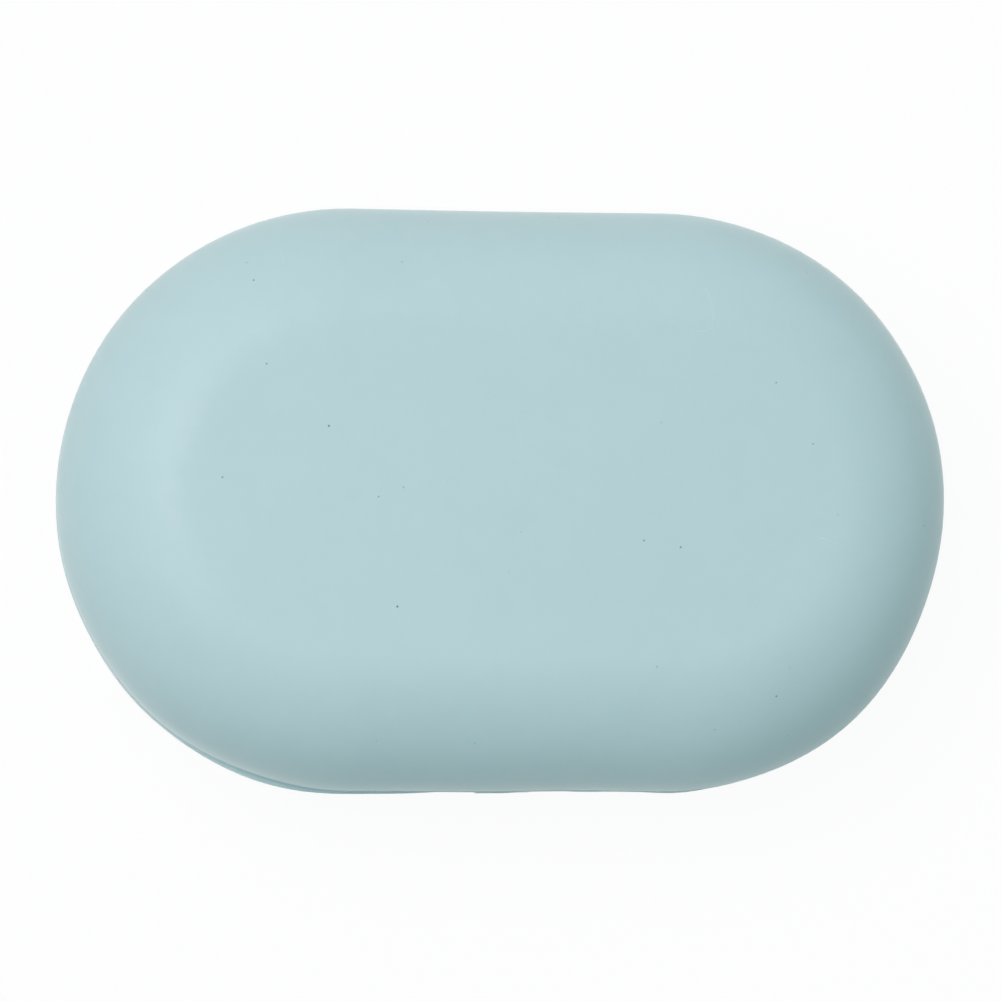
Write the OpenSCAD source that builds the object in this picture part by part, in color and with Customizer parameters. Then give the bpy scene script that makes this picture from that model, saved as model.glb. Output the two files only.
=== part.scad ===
// Travel soap box: a soft oblong box in two halves, with a slotted rest inside.
// The base is a bowl with an upright lip round its rim. The lid drops over the
// lip and lifts straight off. The rest stands on six pegs, so that the bar stays
// above the water that drips off it.
// X runs along the box, Y across it and Z up. The origin is the middle of the
// plane that the box stands on. The small nib that a thumb holds down, while the
// lid is pulled up, is on the base's front, at -Y.

/* [Box] */
// Length over the two round ends
box_len = 115; // [100:1:130]
// Width over the two straight sides
box_w = 75; // [68:1:84]
// Height of the base, from the table to the seam
base_h = 18; // [17:0.5:24]
// Height of the lid, from the seam to the top
lid_h = 20; // [19:0.5:26]
// Thickness of the wall of both halves
wall = 2.2; // [1.8:0.1:2.8]
// Radius of the large rounding under the base
base_round = 13; // [10:0.5:14]
// Radius of the large rounding over the lid
lid_round = 17; // [11:0.5:17.5]
// Radius of the two outer edges that meet at the seam
seam_round = 0.6; // [0.3:0.1:0.9]

/* [Foot] */
// Width of the flat ring that the box stands on
foot_w = 4; // [2:0.5:8]
// Depth of the shallow hollow inside that ring
foot_depth = 0.6; // [0.3:0.1:0.9]

/* [Lip and seal] */
// Height of the lip above the seam
lip_h = 3.6; // [3.2:0.1:4.4]
// Thickness of the lip, whose top edge is fully round
lip_t = 1.6; // [1.2:0.1:2]
// Gap between the lip and the inside of the lid
lip_gap = 0.45; // [0.4:0.05:0.7]
// Thickness, at its inner edge, of the ledge that carries the lip
ledge_t = 2.5; // [1.5:0.1:3.5]
// Radius of the two half-round beads on the outside of the lip
bead_r = 0.3; // [0.15:0.05:0.3]
// Height of the lower bead above the seam
bead_low = 1; // [0.7:0.1:1.2]
// Height of the upper bead above the lower one
bead_pitch = 1.1; // [0.8:0.1:1.2]
// Width of the slope inside the lid's edge that guides it over the lip
lead_in = 0.4; // [0.2:0.1:0.6]

/* [Thumb nib] */
// Width of the nib where it leaves the base's front
nib_w = 7.5; // [5:0.5:12]
// Height of the nib
nib_h = 3; // [2:0.2:4]
// Distance that the nib stands out of the front
nib_out = 0.6; // [0.5:0.05:1]
// Radius of the nib's upper and lower edges
nib_round = 0.4; // [0.2:0.05:0.45]
// Gap for a fingernail between the nib and the seam
nib_drop = 0.6; // [0.2:0.1:1]

/* [Soap rest] */
// Height of the rest above the base's floor, where water gathers
rest_lift = 5; // [4.4:0.2:7]
// Thickness of the rest's plate
plate_t = 2; // [1.6:0.1:2.6]
// Gap round the rest, to the lip and the bowl
rest_gap = 0.6; // [0.4:0.1:1.2]
// Height of the rest's rim above its plate
rim_h = 1.2; // [0.6:0.1:2]
// Thickness of the rim
rim_t = 1.8; // [1.2:0.1:2.4]
// Distance between the ribs
rib_pitch = 8; // [7.5:0.25:9.5]
// Width of the web under each rib, between two slots
web_w = 4.4; // [4.2:0.1:5]
// Radius of the ribs' round crests
rib_r = 1.2; // [0.8:0.1:1.6]
// Height of the ribs' crests above the plate
rib_h = 1.5; // [0.6:0.1:2]
// Distance from the rest's edge to the ends of the ribs
rib_margin = 3.5; // [2.8:0.1:5]
// Distance from the rest's edge to the ends of the slots
slot_margin = 6; // [4:0.5:9]
// Width of the solid spine along the middle of the rest
spine_w = 4; // [3:0.5:8]
// Radius of the finger notch in each end
notch_r = 9; // [8:0.5:10]
// Distance from the rest's end out to the centre of its notch
notch_out = 2; // [1:0.5:4]

/* [Pegs and seats] */
// Diameter of the pegs under the rest
peg_d = 4; // [3:0.2:4.2]
// Gap round each peg in its seat
seat_gap = 0.4; // [0.3:0.1:0.8]
// Thickness of the seat rings on the base's floor
seat_t = 1.2; // [0.8:0.1:1.6]
// Height of the seat rings above the floor
seat_h = 1.2; // [0.8:0.1:2]
// Distance from a seat ring to the edge of the flat floor
seat_margin = 1.8; // [0.5:0.1:4]

/* [Hidden] */
$fn = 96;

// Colours of the pale blue silicone and of the paler plastic
silicone_colour = [0.72, 0.81, 0.83];
plastic_colour = [0.81, 0.86, 0.87];

// Length that a cutting shape runs past the face that it cuts
over = 1;

// Plan of the box: two half circles of radius half_w, joined by straights
half_w = box_w / 2;
straight = box_len - box_w;
box_h = base_h + lid_h;

// Half widths of the lip, of the floor's flat part and of the hollow in the foot
lip_outer = half_w - wall - lip_gap;
lip_inner = lip_outer - lip_t;
floor_reach = half_w - base_round;
foot_inner = floor_reach - foot_w;

// Half width inside the bowl at height z
function bowl_reach(z) =
    floor_reach + sqrt(pow(base_round - wall, 2) - pow(max(0, base_round - z), 2));

// Half width at x of an oblong whose half width in the middle is reach
function half_width_at(x, reach) =
    sqrt(pow(reach, 2) - pow(max(0, abs(x) - straight / 2), 2));

// The rest lies above the floor and passes the bowl and the lip when it is lifted
rest_z = wall + rest_lift;
plate_top = rest_z + plate_t;
rest_reach = min(bowl_reach(rest_z), lip_inner) - rest_gap;
rest_half_len = straight / 2 + rest_reach;
notch_x = rest_half_len + notch_out;

// Slots lie between the ribs, which reach as far as the notches' rims allow
rib_room = notch_x - notch_r - rim_t - rib_r;
ribs_a_side = floor(rib_room / rib_pitch);
slot_w = rib_pitch - web_w;

// Pegs stand under the middle rib and under the last rib but one on each side
seat_r = peg_d / 2 + seat_gap + seat_t;
peg_reach = floor_reach - seat_margin - seat_r;
peg_x = (ribs_a_side - 1) * rib_pitch;
peg_places = [
    for (x = [-peg_x, 0, peg_x])
        for (side = [-1, 1])
            [x, side * half_width_at(x, peg_reach)]
];

// The nib is a slice off a round disc that stands in the front wall
nib_disc_r = (pow(nib_w / 2, 2) + pow(nib_out, 2)) / (2 * nib_out);

// A quarter of a disc, between the X and Y axes
module quarter_disc(r) {
    intersection() {
        circle(r);
        square(2 * r);
    }
}

// A half disc on the X axis, with its round side up
module half_disc(r) {
    intersection() {
        circle(r);
        translate([-2 * r, 0])
            square([4 * r, 2 * r]);
    }
}

// A flat strip of height r whose outer top corner is round
module round_strip(reach, r) {
    square([reach - r, r]);
    translate([reach - r, 0])
        quarter_disc(r);
}

// Half of an upright section, from the axis out to reach and from low up to high,
// with round outer corners. A radius of 0 leaves that corner square.
module half_section(reach, low, high, low_r, high_r) {
    translate([0, low + low_r])
        square([reach, high - low - low_r - high_r]);
    if (high_r > 0)
        translate([0, high - high_r])
            round_strip(reach, high_r);
    if (low_r > 0)
        translate([0, low + low_r])
            mirror([0, 1])
                round_strip(reach, low_r);
}

// An oblong outline: two half discs joined by a rectangle
module oblong(length, reach) {
    for (end = [-1, 1])
        translate([end * length / 2, 0])
            rotate(-90 * end)
                half_disc(reach);
    square([length, 2 * reach], center = true);
}

// Carries half a section round the plan of the box
module sweep_round_box() {
    for (end = [-1, 1])
        translate([end * straight / 2, 0, 0])
            rotate([0, 0, -90 * end])
                rotate_extrude(angle = 180)
                    children();
    rotate([90, 0, 90])
        linear_extrude(straight, center = true)
            for (side = [0, 1])
                mirror([side, 0])
                    children();
}

// The lip's section: a round-topped bar with the two sealing beads
module lip_section() {
    bar_h = lip_h - lip_t / 2;
    translate([lip_inner, base_h - over])
        square([lip_t, bar_h + over]);
    translate([lip_inner + lip_t / 2, base_h + bar_h])
        half_disc(lip_t / 2);
    for (bead = [0, 1])
        translate([lip_outer, base_h + bead_low + bead * bead_pitch])
            circle(bead_r);
}

// The bowl's inside. It narrows to the lip under a slope of 45 degrees.
module bowl_section() {
    ledge_z = base_h - ledge_t;
    ledge_reach = half_w - lip_inner;
    top = base_h + lip_h + over;
    intersection() {
        half_section(half_w - wall, wall, top, base_round - wall, 0);
        polygon([
            [0, 0],
            [half_w, 0],
            [half_w, ledge_z - ledge_reach],
            [lip_inner, ledge_z],
            [lip_inner, top + over],
            [0, top + over]
        ]);
    }
}

// Base: a bowl on a flat foot ring, with the lip inside its rim, six seats for
// pegs on its floor and the nib in front
module base_shell() {
    color(silicone_colour) {
        sweep_round_box()
            difference() {
                union() {
                    half_section(half_w, 0, base_h, base_round, seam_round);
                    lip_section();
                }
                bowl_section();
                translate([0, -over])
                    square([foot_inner, foot_depth + over]);
            }
        for (place = peg_places)
            translate([place.x, place.y, wall / 2])
                linear_extrude(wall / 2 + seat_h)
                    difference() {
                        circle(seat_r);
                        circle(seat_r - seat_t);
                    }
        thumb_nib();
    }
}

// Nib on the base's front, just under the seam
module thumb_nib() {
    nib_high = base_h - nib_drop;
    intersection() {
        translate([0, nib_disc_r - half_w - nib_out, 0])
            rotate_extrude()
                half_section(nib_disc_r, nib_high - nib_h, nib_high, nib_round, nib_round);
        translate([-nib_w, -half_w - 2 * nib_out, 0])
            cube([2 * nib_w, 2 * nib_out + wall / 2, base_h]);
    }
}

// Lid: a shallow dome whose rim rests on the base's rim, outside the lip
module lid_shell() {
    guide = lead_in + 2 * over;
    color(silicone_colour)
        sweep_round_box()
            difference() {
                half_section(half_w, base_h, box_h, seam_round, lid_round);
                half_section(half_w - wall, base_h - over, box_h - wall, 0, lid_round - wall);
                translate([half_w - wall - over, base_h - over])
                    polygon([[0, 0], [guide, 0], [0, guide]]);
            }
}

// Outline of the rest with its two finger notches, drawn in by inset all round
module rest_outline(inset) {
    difference() {
        oblong(straight, rest_reach - inset);
        for (end = [-1, 1])
            translate([end * notch_x, 0])
                circle(notch_r + inset);
    }
}

// Round-ended slots between the ribs, in a row on each side of the spine
module drain_slots() {
    for (column = [-ribs_a_side:ribs_a_side - 1]) {
        x = (column + 0.5) * rib_pitch;
        slot_end = half_width_at(x, rest_reach) - slot_margin;
        slot_l = slot_end - spine_w / 2;
        for (side = [-1, 1])
            translate([x, side * (spine_w + slot_l) / 2])
                rotate(90)
                    oblong(slot_l - slot_w, slot_w / 2);
    }
}

// A rod of length rod_l along Y with ball ends
module round_rod(rod_l, r) {
    rotate([90, 0, 0])
        rotate_extrude()
            intersection() {
                rotate(90)
                    oblong(rod_l - 2 * r, r);
                translate([0, -rod_l])
                    square([2 * r, 2 * rod_l]);
            }
}

// Soap rest: a slotted plate with a low rim, round ribs under the bar and six pegs
module drain_tray() {
    color(plastic_colour) {
        translate([0, 0, rest_z])
            linear_extrude(plate_t)
                difference() {
                    rest_outline(0);
                    drain_slots();
                }
        translate([0, 0, rest_z])
            linear_extrude(plate_t + rim_h)
                difference() {
                    rest_outline(0);
                    rest_outline(rim_t);
                }
        for (row = [-ribs_a_side:ribs_a_side]) {
            x = row * rib_pitch;
            translate([x, 0, plate_top + rib_h - rib_r])
                round_rod(2 * (half_width_at(x, rest_reach) - rib_margin), rib_r);
        }
        for (place = peg_places)
            translate([place.x, place.y, wall])
                cylinder(h = rest_lift + plate_t / 2, d = peg_d);
    }
}

base_shell();
lid_shell();
drain_tray();
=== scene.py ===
"""Travel soap box: a silicone base with a sealing lip, a slotted rest, and a silicone lid."""
from math import cos, pi, radians, sin, sqrt

import bmesh
import bpy
from mathutils import Matrix, Vector


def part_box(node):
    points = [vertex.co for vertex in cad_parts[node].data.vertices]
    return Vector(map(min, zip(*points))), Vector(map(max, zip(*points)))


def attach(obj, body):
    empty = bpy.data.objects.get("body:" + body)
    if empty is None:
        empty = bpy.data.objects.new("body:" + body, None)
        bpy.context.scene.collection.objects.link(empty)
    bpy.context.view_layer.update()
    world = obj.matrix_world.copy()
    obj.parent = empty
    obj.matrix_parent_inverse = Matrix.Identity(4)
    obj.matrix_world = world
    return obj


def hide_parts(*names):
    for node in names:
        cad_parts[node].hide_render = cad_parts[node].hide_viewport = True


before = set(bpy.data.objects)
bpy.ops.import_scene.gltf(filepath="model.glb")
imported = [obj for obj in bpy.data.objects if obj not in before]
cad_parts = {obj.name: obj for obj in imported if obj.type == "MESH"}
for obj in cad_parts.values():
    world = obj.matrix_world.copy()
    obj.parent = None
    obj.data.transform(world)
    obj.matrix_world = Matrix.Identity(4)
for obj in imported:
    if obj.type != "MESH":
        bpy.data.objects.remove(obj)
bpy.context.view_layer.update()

# Base shell
# The lower half of the box: a bowl on a flat foot ring, moulded in one piece of soft,
# pale-blue silicone. Its rim carries an upright lip with two sealing beads, inside the edge
# that the lid rests on, and six rings on its floor hold the pegs of the rest.
mm = 0.001
base_low, base_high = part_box("base_shell")
lid_low, lid_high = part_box("lid_shell")
seam_z = lid_low.z
half_w = base_high.y
end_x = base_high.x - half_w
wall = 2.2 * mm
edge_round = 0.16 * mm
soft_edge = 0.12 * mm
soft_edge_angle = 31
base_round = 13 * mm
foot_w = 4 * mm
foot_depth = 0.6 * mm
lip_w = 1.6 * mm
lip_gap = 0.45 * mm
lip_low = seam_z - 2.5 * mm
bead_r = 0.3 * mm
bead_heights = [2.1 * mm, 1 * mm]
turn_steps = 60
straight_steps = 8
touching = 0.001 * mm


def start_section(name, x, reach, z):
    """Starts a new piece with one point, at a reach in front of the line y = 0."""
    bpy.ops.object.select_all(action="DESELECT")
    bpy.ops.mesh.primitive_plane_add(size=mm, location=(x, -reach, z))
    piece = bpy.context.object
    piece.name = name
    piece.data.name = name
    bpy.ops.object.transform_apply(location=True, rotation=True, scale=True)
    bpy.ops.object.mode_set(mode="EDIT")
    bpy.ops.mesh.select_mode(type="VERT")
    bpy.ops.mesh.select_all(action="SELECT")
    bpy.ops.mesh.merge(type="CENTER")
    return piece


def draw_to(reach, z, steps=1):
    """Extrudes the selected point of a section in a straight line."""
    edit = bmesh.from_edit_mesh(bpy.context.object.data)
    here = next(vert.co for vert in edit.verts if vert.select)
    step = (0, (-reach - here.y) / steps, (z - here.z) / steps)
    for _ in range(steps):
        bpy.ops.mesh.extrude_vertices_move(TRANSFORM_OT_translate={"value": step})


def draw_round(x, reach, z, angle, steps):
    """Spins the selected point of a section round a centre, by an angle in degrees."""
    bpy.ops.mesh.spin(steps=steps, angle=radians(angle), center=(x, -reach, z), axis=(1, 0, 0))


def select_where(piece, test):
    """Selects the vertices that pass a test, and all that lies between them."""
    bpy.ops.mesh.select_all(action="DESELECT")
    edit = bmesh.from_edit_mesh(piece.data)
    for vert in edit.verts:
        vert.select = test(vert.co)
    edit.select_flush_mode()
    bmesh.update_edit_mesh(piece.data)


def close_and_point_out(piece):
    """Merges a piece's doubles in edit mode, points its faces outwards and leaves that mode."""
    bpy.ops.mesh.select_all(action="SELECT")
    bpy.ops.mesh.remove_doubles(threshold=touching)
    bpy.ops.mesh.normals_make_consistent(inside=False)
    bpy.ops.object.mode_set(mode="OBJECT")


def finish_modifier(piece, kind, **settings):
    """Adds a modifier to a piece and applies it."""
    bpy.ops.object.select_all(action="DESELECT")
    bpy.context.view_layer.objects.active = piece
    piece.select_set(True)
    modifier = piece.modifiers.new(kind.title(), kind)
    for name, value in settings.items():
        setattr(modifier, name, value)
    bpy.ops.object.modifier_apply(modifier=modifier.name)


def bevel_edges(piece, width, segments, angle):
    """Rounds the edges of a piece that are sharper than an angle in degrees."""
    limit = radians(angle)
    finish_modifier(
        piece, "BEVEL", width=width, segments=segments, limit_method="ANGLE", angle_limit=limit
    )


def carry_round_box(piece):
    """Turns a section round one end, runs it along the straight sides and mirrors the half."""
    bpy.ops.mesh.select_all(action="SELECT")
    bpy.ops.mesh.spin(steps=turn_steps, angle=pi, center=(end_x, 0, 0), axis=(0, 0, -1))
    bpy.ops.mesh.select_all(action="SELECT")
    bpy.ops.mesh.remove_doubles(threshold=touching)
    select_where(piece, lambda co: abs(co.x - end_x) < touching)
    for _ in range(straight_steps):
        step = (-end_x / straight_steps, 0, 0)
        bpy.ops.mesh.extrude_region_move(TRANSFORM_OT_translate={"value": step})
    close_and_point_out(piece)
    finish_modifier(piece, "MIRROR", use_clip=True, merge_threshold=touching)


def join_to(piece, others):
    """Joins solid parts to a piece, so that all are one skin."""
    for other in others:
        finish_modifier(piece, "BOOLEAN", operation="UNION", solver="EXACT", object=other)
        bpy.data.objects.remove(other)


def outside_base(co):
    """Whether a point is on the outer skin of the base."""
    reach = Vector((max(0, abs(co.x) - end_x), co.y)).length
    from_round = Vector((reach - floor_reach, min(0, co.z - base_round))).length
    return from_round > base_round - mm and reach > floor_reach


def press(piece, outside, place, push, reach):
    """Presses a soft wall's outer skin at a place, and less and less out to a reach, all in mm."""
    bpy.ops.object.select_all(action="DESELECT")
    bpy.context.view_layer.objects.active = piece
    piece.select_set(True)
    bpy.ops.object.mode_set(mode="EDIT")
    bpy.ops.mesh.select_mode(type="VERT")
    select_where(piece, lambda co: not outside(co))
    bpy.ops.mesh.hide()
    edit = bmesh.from_edit_mesh(piece.data)
    skin = [vert.co for vert in edit.verts if not vert.hide]
    target = Vector(place) * mm
    nearest = min(skin, key=lambda co: (co - target).length).copy()
    select_where(piece, lambda co: (co - nearest).length < touching)
    bpy.ops.transform.translate(
        value=Vector(push) * mm,
        use_proportional_edit=True,
        proportional_edit_falloff="SMOOTH",
        proportional_size=reach * mm,
    )
    bpy.ops.mesh.reveal(select=False)
    bpy.ops.object.mode_set(mode="OBJECT")


base = start_section("base_silicone", end_x, 0, wall)
floor_reach = half_w - base_round
inner_reach = half_w - wall
lip_outer = inner_reach - lip_gap
lip_inner = lip_outer - lip_w
lip_top = base_high.z - lip_w / 2
draw_to(floor_reach, wall, 6)
draw_round(end_x, floor_reach, base_round, 90, 24)
draw_to(inner_reach, lip_low - inner_reach + lip_inner)
draw_to(lip_inner, lip_low, 2)
draw_to(lip_inner, lip_top, 4)
draw_round(end_x, lip_inner + lip_w / 2, lip_top, -180, 12)
for bead_height in bead_heights:
    draw_to(lip_outer, seam_z + bead_height + bead_r)
    draw_round(end_x, lip_outer, seam_z + bead_height, -180, 8)
draw_to(lip_outer, seam_z)
draw_to(half_w - edge_round, seam_z, 2)
draw_round(end_x, half_w - edge_round, seam_z - edge_round, -90, 6)
draw_to(half_w, base_round, 3)
draw_round(end_x, floor_reach, base_round, -90, 28)
draw_to(floor_reach - foot_w, 0, 2)
draw_to(floor_reach - foot_w, foot_depth)
draw_to(0, foot_depth, 5)
carry_round_box(base)
bevel_edges(base, soft_edge, 2, soft_edge_angle)

# Peg rings on the base's floor, which are modelled once and copied to their six places
peg_r = 2 * mm
ring_w = 1.2 * mm
ring_h = 1.2 * mm
ring_edge = 0.2 * mm
peg_gap = 0.4 * mm
ring_margin = 1.8 * mm
ring_top = wall + ring_h
ring_inner = peg_r + peg_gap
ring_outer = ring_inner + ring_w
ring_reach = floor_reach - ring_margin - ring_outer
peg_x = 32 * mm
side_y = sqrt(ring_reach ** 2 - (peg_x - end_x) ** 2)
peg_places = [
    (x, side * reach)
    for x, reach in [(-peg_x, side_y), (0, ring_reach), (peg_x, side_y)]
    for side in [-1, 1]
]
ring = start_section("peg_ring", 0, ring_inner, wall / 2)
draw_to(ring_inner, ring_top - ring_edge)
draw_round(0, ring_inner + ring_edge, ring_top - ring_edge, -90, 3)
draw_to(ring_outer - ring_edge, ring_top)
draw_round(0, ring_outer - ring_edge, ring_top - ring_edge, -90, 3)
draw_to(ring_outer, wall / 2)
draw_to(ring_inner, wall / 2)
bpy.ops.mesh.select_all(action="SELECT")
bpy.ops.mesh.spin(steps=32, angle=2 * pi, center=(0, 0, 0), axis=(0, 0, -1))
close_and_point_out(ring)
rings = []
for x, y in peg_places:
    copy = ring.copy()
    copy.data = ring.data.copy()
    copy.data.transform(Matrix.Translation((x, y, 0)))
    bpy.context.collection.objects.link(copy)
    rings.append(copy)
bpy.data.objects.remove(ring)
join_to(base, rings)

# Thumb nib on the base's front, a low rounded tab that is held down while the lid is pulled up
nib_w = 7.3 * mm
nib_h = 3 * mm
nib_out = -base_low.y - half_w
nib_root = wall / 2
nib_round = 0.4 * mm
nib_drop = 0.6 * mm
nib_z = seam_z - nib_drop - nib_h / 2
bpy.ops.object.select_all(action="DESELECT")
bpy.ops.mesh.primitive_cube_add(
    size=1,
    location=(0, (nib_root - nib_out) / 2 - half_w, nib_z),
    scale=(nib_w, nib_out + nib_root, nib_h),
)
nib = bpy.context.object
bpy.ops.object.transform_apply(location=True, rotation=True, scale=True)
bpy.ops.object.mode_set(mode="EDIT")
select_where(nib, lambda co: co.y < -half_w)
bpy.ops.mesh.subdivide(number_cuts=3)
bpy.ops.object.mode_set(mode="OBJECT")
bevel_edges(nib, nib_round, 4, 60)
join_to(base, [nib])

# The silicone has taken a slight set: the front bulges a little at the left and the right, and
# both ends and the nib lie further in. Each line is a place, a push and the push's reach.
base_set = [
    ((-30, -36.1, 17), (-0.08, -0.25, 0), 16),
    ((-14, -37.5, 17), (0, -0.12, 0), 9),
    ((24, -37.3, 17), (0.03, -0.26, 0), 8),
    ((15, -37.5, 17), (0, 0.12, 0), 6),
    ((-57.5, 2, 17), (0.14, 0, 0), 26),
    ((-54, -15.8, 17), (0.2, 0.07, 0), 16),
    ((57.5, 0, 17), (-0.12, 0, 0), 16),
    ((0, -38, 16), (0, 0.5, 0), 13),
    ((-3.6, -38, 16), (0, 0.12, 0), 3),
    ((3.4, -38, 16), (0, 0.25, 0), 4),
]
for place, push, reach in base_set:
    press(base, outside_base, place, push, reach)


class Signal:
    """An output of a shader node, on which Python's own signs work, such as 1 - mask."""

    def __init__(self, tree, socket=None):
        self.tree = tree
        self.socket = socket

    def node(self, kind, settings, sockets, output=0):
        """Adds a node: its settings are set first, then the values or links of its sockets."""
        made = self.tree.nodes.new(kind)
        for name, value in settings.items():
            setattr(made, name, value)
        for name, value in sockets.items():
            if isinstance(value, Signal):
                self.tree.links.new(value.socket, made.inputs[name])
            else:
                made.inputs[name].default_value = value
        return Signal(self.tree, made.outputs[output])

    def feed(self, shader, name):
        """Links the output to a socket of a shader."""
        self.tree.links.new(self.socket, shader.inputs[name])

    def maths(self, operation, first, second):
        """Adds a Math node that works on two signals or numbers."""
        return self.node("ShaderNodeMath", {"operation": operation}, {0: first, 1: second})

    def __add__(self, other):
        return self.maths("ADD", self, other)

    def __radd__(self, other):
        return self.maths("ADD", other, self)

    def __sub__(self, other):
        return self.maths("SUBTRACT", self, other)

    def __rsub__(self, other):
        return self.maths("SUBTRACT", other, self)

    def __mul__(self, other):
        return self.maths("MULTIPLY", self, other)

    def __rmul__(self, other):
        return self.maths("MULTIPLY", other, self)


def new_material(name, constants):
    """Makes a material, with values that are the same all over it set on its shader."""
    material = bpy.data.materials.new(name)
    material.use_nodes = True
    shader = material.node_tree.nodes["Principled BSDF"]
    for socket, value in constants.items():
        shader.inputs[socket].default_value = value
    return material, shader, Signal(material.node_tree)


def noise(graph, place, scale, detail):
    """Soft noise about 0.5, with scale spots to a metre."""
    sockets = {"Vector": place, "Scale": scale, "Detail": detail}
    return graph.node("ShaderNodeTexNoise", {}, sockets, "Fac")


def between(graph, value, low, high):
    """0 below low and 1 above high, with a smooth step from one to the other."""
    sockets = {"Value": value, "From Min": low, "From Max": high}
    return graph.node("ShaderNodeMapRange", {"interpolation_type": "SMOOTHSTEP"}, sockets)


def blend(graph, factor, first, second):
    """Mixes two colours."""
    sockets = {0: factor, 6: first, 7: second}
    return graph.node("ShaderNodeMix", {"data_type": "RGBA"}, sockets, 2)


def silicone(name, offset):
    """Matte pale-blue silicone with a fine moulded grain, faint clouds and a little dust."""
    blue = (0.497, 0.640, 0.671, 1)
    cloud_blue = (0.487, 0.632, 0.665, 1)
    dark_dust = (0.13, 0.17, 0.18, 1)
    pale_dust = (0.72, 0.80, 0.82, 1)
    constants = {
        "IOR": 1.41,
        "Sheen Weight": 0.38,
        "Sheen Roughness": 0.35,
        "Subsurface Weight": 0.5,
        "Subsurface Radius": (1.0, 1.3, 1.2),
        "Subsurface Scale": 0.0015,
    }
    material, shader, graph = new_material(name, constants)
    object_place = graph.node("ShaderNodeTexCoord", {}, {}, "Object")
    place = graph.node("ShaderNodeMapping", {}, {"Vector": object_place, "Location": offset})
    clouds = noise(graph, place, 90, 3.0) * 0.6 + noise(graph, place, 330, 2.0) * 0.4
    colour = blend(graph, between(graph, clouds, 0.35, 0.65), blue, cloud_blue)

    # Dust: dark specks of about a third of a millimetre, some faint, and a few fine pale fibres
    speck_cells = {"Vector": place, "Scale": 1300.0, "Randomness": 1.0}
    speck_distance = graph.node("ShaderNodeTexVoronoi", {}, speck_cells, "Distance")
    speck_colour = graph.node("ShaderNodeTexVoronoi", {}, speck_cells, "Color")
    speck_chance = graph.node("ShaderNodeSeparateColor", {}, {"Color": speck_colour}, "Red")
    few = between(graph, speck_chance, 0.9960, 0.9962)
    speck_depth = graph.node("ShaderNodeSeparateColor", {}, {"Color": speck_colour}, "Green")
    specks = (1 - between(graph, speck_distance, 0.10, 0.26)) * few * (0.2 + speck_depth * 0.7)
    colour = blend(graph, specks, colour, dark_dust)
    fibre_bend = graph.node("ShaderNodeTexNoise", {}, {"Vector": place, "Scale": 160.0}, "Color")
    bent = graph.node(
        "ShaderNodeVectorMath",
        {"operation": "MULTIPLY_ADD"},
        {0: fibre_bend, 1: (0.004, 0.004, 0.004), 2: place},
    )
    fibre_cells = {"Vector": bent, "Scale": 60.0, "Randomness": 1.0}
    fibre_edge = graph.node(
        "ShaderNodeTexVoronoi", {"feature": "DISTANCE_TO_EDGE"}, fibre_cells, "Distance"
    )
    fibre_patch = between(graph, noise(graph, place, 140, 0.0), 0.76, 0.80)
    fibres = (1 - between(graph, fibre_edge, 0.002, 0.006)) * fibre_patch
    colour = blend(graph, fibres * 0.2, colour, pale_dust)
    colour.feed(shader, "Base Color")

    roughness = 0.46 + noise(graph, place, 240, 2.0) * 0.08 + fibres * 0.1
    roughness.feed(shader, "Roughness")
    grain = noise(graph, place, 5200, 2.0) * 0.7 + noise(graph, place, 1500, 2.0) * 0.3
    relief = grain + specks * 1.5 + fibres * 0.8
    bump = {"Strength": 0.35, "Distance": 0.00004, "Height": relief}
    graph.node("ShaderNodeBump", {}, bump, "Normal").feed(shader, "Normal")
    return material


def dress(piece, material, body, node, smooth_angle=32):
    """Cleans a finished piece's mesh, and gives it its material and its place in the assembly."""
    bpy.ops.object.select_all(action="DESELECT")
    bpy.context.view_layer.objects.active = piece
    piece.select_set(True)
    bpy.ops.object.mode_set(mode="EDIT")
    bpy.ops.mesh.select_all(action="SELECT")
    bpy.ops.mesh.remove_doubles(threshold=3 * touching)
    bpy.ops.object.mode_set(mode="OBJECT")
    bpy.ops.object.shade_smooth_by_angle(angle=radians(smooth_angle))
    piece.data.materials.clear()
    piece.data.materials.append(material)
    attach(piece, body)
    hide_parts(node)


dress(base, silicone("base_silicone", (0.31, 0.17, 0.05)), "base", "base_shell")

# Soap rest
# A slotted plate of paler, stiffer plastic with a low rim, injection-moulded in one piece.
# Round ribs carry the bar, six pegs stand in the rings on the base's floor, and a notch in
# each end lets a fingertip lift it out.
rest_low, rest_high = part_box("drain_tray")
peg_h = 5 * mm
plate_low = rest_low.z + peg_h
plate_t = 2 * mm
plate_top = plate_low + plate_t
rim_h = 1.2 * mm
rim_w = 1.8 * mm
rest_reach = rest_high.y
rib_r = 1.2 * mm
rib_centre = rest_high.z - rib_r
rib_pitch = 8 * mm
ribs_a_side = 5
rib_margin = 3.5 * mm
slot_r = 1.8 * mm
slot_margin = 6 * mm
spine_w = 4 * mm
notch_r = 9 * mm
notch_out = 2 * mm
notch_x = end_x + rest_reach + notch_out
rest_edge = 0.3 * mm
peg_edge = 0.35 * mm


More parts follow.
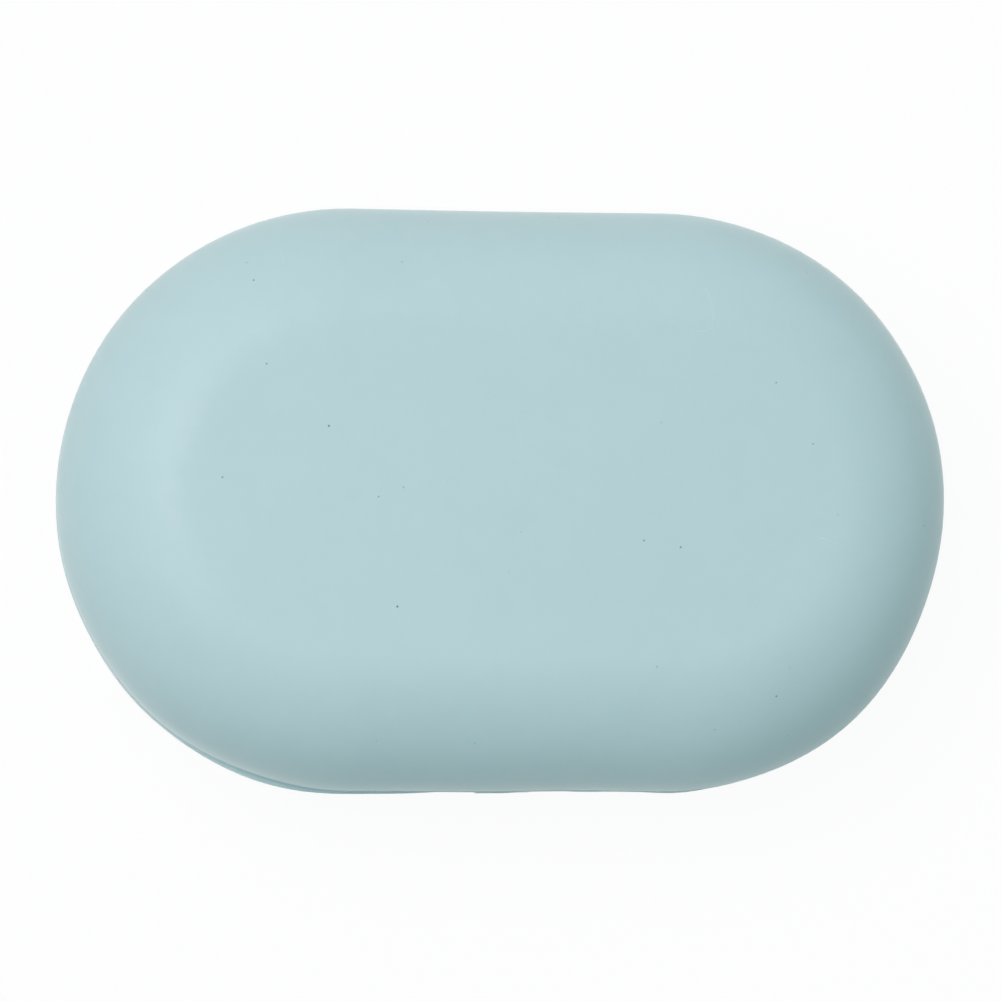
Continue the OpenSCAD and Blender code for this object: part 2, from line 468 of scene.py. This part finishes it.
def stadium(name, x, y, reach, half_x, half_y, low, high, vertices):
    """A block with a round-ended plan: a cylinder with its halves moved out on X or on Y."""
    bpy.ops.object.select_all(action="DESELECT")
    bpy.ops.mesh.primitive_cylinder_add(
        vertices=vertices,
        radius=reach / cos(pi / vertices),
        depth=high - low,
        location=(0, 0, (low + high) / 2),
        rotation=(0, 0, pi / vertices),
    )
    block = bpy.context.object
    block.name = name
    bpy.ops.object.transform_apply(location=True, rotation=True, scale=True)
    bpy.ops.object.mode_set(mode="EDIT")
    bpy.ops.mesh.select_mode(type="VERT")
    for side in [-1, 1]:
        if half_x > 0:
            select_where(block, lambda co: co.x * side > 0)
            bpy.ops.transform.translate(value=(side * half_x, 0, 0))
        if half_y > 0:
            select_where(block, lambda co: co.y * side > 0)
            bpy.ops.transform.translate(value=(0, side * half_y, 0))
    bpy.ops.mesh.select_all(action="SELECT")
    bpy.ops.transform.translate(value=(x, y, 0))
    bpy.ops.object.mode_set(mode="OBJECT")
    return block


def merge_pieces(pieces):
    """Joins parts that don't touch each other into one object."""
    bpy.ops.object.select_all(action="DESELECT")
    for piece in pieces:
        piece.select_set(True)
    bpy.context.view_layer.objects.active = pieces[0]
    bpy.ops.object.join()
    return pieces[0]


def cut_away(piece, cutter):
    """Cuts a tool's shape out of a piece."""
    finish_modifier(piece, "BOOLEAN", operation="DIFFERENCE", solver="EXACT", object=cutter)
    bpy.data.objects.remove(cutter)


def half_width_at(x, reach):
    """Half the width at x of a round-ended plan whose half width in the middle is reach."""
    return sqrt(reach ** 2 - max(0, abs(x) - end_x) ** 2)


rest = stadium("soap_rest", 0, 0, rest_reach, end_x, 0, plate_low, plate_top + rim_h, 144)
notches = [
    stadium("notch", side * notch_x, 0, notch_r, 0, 0, rest_low.z, rest_high.z, 72)
    for side in [-1, 1]
]
cut_away(rest, merge_pieces(notches))
pocket = stadium("pocket", 0, 0, rest_reach - rim_w, end_x, 0, plate_top, rest_high.z, 144)
pocket_notches = [
    stadium("notch", side * notch_x, 0, notch_r + rim_w, 0, 0, rest_low.z, rest_high.z + mm, 72)
    for side in [-1, 1]
]
cut_away(pocket, merge_pieces(pocket_notches))
cut_away(rest, pocket)
slots = []
for column in range(-ribs_a_side, ribs_a_side):
    slot_x = (column + 0.5) * rib_pitch
    slot_end = half_width_at(slot_x, rest_reach) - slot_margin
    slot_half = (slot_end - spine_w / 2) / 2
    for side in [-1, 1]:
        slot_y = side * (spine_w / 2 + slot_half)
        slots.append(stadium(
            "slot", slot_x, slot_y, slot_r, 0, slot_half - slot_r, rest_low.z, rest_high.z, 24
        ))
cut_away(rest, merge_pieces(slots))
bevel_edges(rest, rest_edge, 2, 40)

ribs = []
for row in range(-ribs_a_side, ribs_a_side + 1):
    rib_x = row * rib_pitch
    rib_half = half_width_at(rib_x, rest_reach) - rib_margin - rib_r
    bpy.ops.object.select_all(action="DESELECT")
    bpy.ops.mesh.primitive_uv_sphere_add(
        segments=24, ring_count=13, radius=rib_r, rotation=(pi / 2, 0, 0)
    )
    rib = bpy.context.object
    bpy.ops.object.transform_apply(location=True, rotation=True, scale=True)
    bpy.ops.object.mode_set(mode="EDIT")
    bpy.ops.mesh.select_mode(type="VERT")
    for side in [-1, 1]:
        select_where(rib, lambda co: co.y * side > 0)
        bpy.ops.transform.translate(value=(0, side * rib_half, 0))
    bpy.ops.mesh.select_all(action="SELECT")
    bpy.ops.transform.translate(value=(rib_x, 0, rib_centre))
    bpy.ops.object.mode_set(mode="OBJECT")
    ribs.append(rib)
join_to(rest, [merge_pieces(ribs)])

pegs = []
for x, y in peg_places:
    peg = stadium("peg", x, y, peg_r, 0, 0, rest_low.z, plate_low + plate_t / 2, 48)
    bevel_edges(peg, peg_edge, 3, 60)
    pegs.append(peg)
join_to(rest, [merge_pieces(pegs)])


def plastic(name):
    """Fine matte plastic with the slight cloudiness and the fine scuffs of a used moulding."""
    pale = (0.60, 0.71, 0.725, 1)
    cloudy = (0.57, 0.685, 0.702, 1)
    material, shader, graph = new_material(name, {"IOR": 1.49})
    place = graph.node("ShaderNodeTexCoord", {}, {}, "Object")
    clouds = between(graph, noise(graph, place, 120, 3.0), 0.35, 0.65)
    drawn_out = {"Vector": place, "Scale": (1.0, 0.08, 1.0), "Rotation": (0, 0, 0.4)}
    stretched = graph.node("ShaderNodeMapping", {}, drawn_out)
    scuffs = between(graph, noise(graph, stretched, 2600, 2.0), 0.62, 0.70)
    blend(graph, clouds, pale, cloudy).feed(shader, "Base Color")
    (0.42 + clouds * 0.06 + scuffs * 0.1).feed(shader, "Roughness")
    relief = noise(graph, place, 4200, 2.0) - scuffs * 0.3
    bump = {"Strength": 0.3, "Distance": 0.00003, "Height": relief}
    graph.node("ShaderNodeBump", {}, bump, "Normal").feed(shader, "Normal")
    return material


dress(rest, plastic("pale_plastic"), "rest", "drain_tray", 40)

# Lid shell
# The upper half, moulded in the same silicone: a flat-topped dome with a large round edge.
# Its rim drops over the lip and rests on the base, a small slope inside the rim guides it on,
# and a thin line round the rim shows where the two halves of its mould met.
lid_round = 17 * mm
lead_in = 0.4 * mm
lid_top = lid_high.z
top_reach = half_w - lid_round
lid_centre = lid_top - lid_round
flash_r = 0.14 * mm
flash_z = seam_z + 0.6 * mm

lid = start_section("lid_silicone", end_x, 0, lid_top - wall)
draw_to(top_reach, lid_top - wall, 6)
draw_round(end_x, top_reach, lid_centre, -90, 30)
draw_to(inner_reach, seam_z + lead_in, 2)
draw_to(inner_reach + lead_in, seam_z)
draw_to(half_w - edge_round, seam_z, 2)
draw_round(end_x, half_w - edge_round, seam_z + edge_round, 90, 6)
draw_to(half_w, flash_z - flash_r)
draw_round(end_x, half_w, flash_z, 180, 6)
draw_to(half_w, lid_centre, 2)
draw_round(end_x, top_reach, lid_centre, 90, 36)
draw_to(0, lid_top, 6)
carry_round_box(lid)
bevel_edges(lid, soft_edge, 2, soft_edge_angle)


def outside_lid(co):
    """Whether a point is on the outer skin of the lid."""
    reach = Vector((max(0, abs(co.x) - end_x), co.y)).length
    from_round = Vector((max(0, reach - top_reach), max(0, co.z - lid_centre))).length
    return from_round > lid_round - mm


# The lid's soft rim is pressed in nearly all round, most at the front left and the right end,
# and bulges at the two right corners. The lines are read as the base's are.
lid_set = [
    ((55.4, -12, 19), (-0.45, 0.05, 0), 24),
    ((43, -29.5, 19), (0.26, -0.34, 0), 22),
    ((44, 28.8, 19), (0.13, 0.18, 0), 18),
    ((-57.5, 2, 19), (0.14, 0, 0), 26),
    ((-51, -20.6, 19), (0.22, 0.12, 0), 18),
    ((-31, -35.8, 19), (0.15, 0.46, 0), 22),
    ((-13, -37.5, 19), (0, 0.26, 0), 13),
    ((8, -37.5, 19), (0, 0.26, 0), 20),
    ((57, 6, 19), (-0.1, 0, 0), 14),
    ((0, 37.5, 19), (0, -0.1, 0), 26),
]
for place, push, reach in lid_set:
    press(lid, outside_lid, place, push, reach)
dress(lid, silicone("lid_silicone", (0.83, 0.46, 0.29)), "lid", "lid_shell")

# Studio floor
# A plain white floor that keeps the object's shadow. To the camera and in reflections it is
# mostly a plain white light, as in the photograph.
floor_gap = 0.05 * mm
white_share = 0.94


def seen_rays(graph):
    """One for the rays that see the surroundings: from the camera, mirrored or let through."""
    kinds = ("Is Camera Ray", "Is Glossy Ray", "Is Transmission Ray")
    return sum(graph.node("ShaderNodeLightPath", {}, {}, kind) for kind in kinds)


bpy.ops.object.select_all(action="DESELECT")
bpy.ops.mesh.primitive_plane_add(size=6, location=(0, 0, -floor_gap))
floor = bpy.context.object
floor.name = "studio_floor"
floor_material, plain_shader, floor_graph = new_material("studio_white", {})
floor_nodes = floor_material.node_tree.nodes
floor_nodes.remove(plain_shader)
white_paper = floor_graph.node("ShaderNodeBsdfDiffuse", {}, {"Color": (0.82, 0.82, 0.82, 1)})
white_light = floor_graph.node("ShaderNodeEmission", {}, {"Color": (1, 1, 1, 1), "Strength": 1.0})
seen = seen_rays(floor_graph) * white_share
floor_mix = floor_graph.node("ShaderNodeMixShader", {}, {0: seen, 1: white_paper, 2: white_light})
floor_mix.feed(floor_nodes["Material Output"], "Surface")
floor.data.materials.append(floor_material)

# Light
# A dim, cool room that looks white to the camera, and three soft white boxes: one above the
# left end, one above the back, and a weak low one at the back right.
world = bpy.data.worlds.new("studio_room")
bpy.context.scene.world = world
world.use_nodes = True
room_nodes = world.node_tree.nodes
room_nodes.remove(room_nodes["Background"])
room = Signal(world.node_tree)
cool_fill = {"Color": (0.50, 0.98, 0.97, 1), "Strength": 0.27}
room_fill = room.node("ShaderNodeBackground", {}, cool_fill)
room_white = room.node("ShaderNodeBackground", {}, {"Color": (1, 1, 1, 1), "Strength": 1.0})
room_mix = room.node("ShaderNodeMixShader", {}, {0: seen_rays(room), 1: room_fill, 2: room_white})
room_mix.feed(room_nodes["World Output"], "Surface")


def softbox(name, direction, distance, size, energy):
    """Hangs a square soft lamp in a direction from the box, turned towards it."""
    lamp = bpy.data.lights.new(name, "AREA")
    lamp.shape = "SQUARE"
    lamp.size = size
    lamp.energy = energy
    lamp.color = (1.0, 0.92, 0.92)
    hung = bpy.data.objects.new(name, lamp)
    bpy.context.collection.objects.link(hung)
    hung.location = Vector(direction).normalized() * distance
    hung.rotation_euler = (-hung.location).to_track_quat("-Z", "Y").to_euler()


softbox("lamp_left", (-0.40, 0.02, 0.92), 1.5, 0.9, 10.5)
softbox("lamp_back", (-0.3, 0.3, 0.9), 1.5, 0.9, 9.0)
softbox("lamp_low_right", (0.7, 0.7, 0.3), 1.7, 1.2, 3.6)

# Camera
# Almost straight above the box, a little towards its left end and its front, and turned so
# that the box lies level in the picture.
azimuth = radians(-53.3)
elevation = radians(81.87)
camera_distance = 445 * mm
camera_roll = radians(-0.08)
aim = Vector((-0.38, 0.17, 19)) * mm
away = Vector((sin(azimuth) * cos(elevation), -cos(azimuth) * cos(elevation), sin(elevation)))
level_right = Vector((cos(azimuth), sin(azimuth), 0))
level_up = away.cross(level_right)
turn = azimuth + camera_roll
right = cos(turn) * level_right - sin(turn) * level_up
up = sin(turn) * level_right + cos(turn) * level_up
camera_data = bpy.data.cameras.new("camera")
camera_data.sensor_width = 36
camera_data.lens = 123.6
camera_data.clip_start = 0.01
camera = bpy.data.objects.new("camera", camera_data)
bpy.context.collection.objects.link(camera)
camera.matrix_world = Matrix.Translation(aim + camera_distance * away) @ Matrix(
    (right, up, away)
).transposed().to_4x4()
bpy.context.scene.camera = camera
bpy.context.scene.view_settings.view_transform = "Standard"
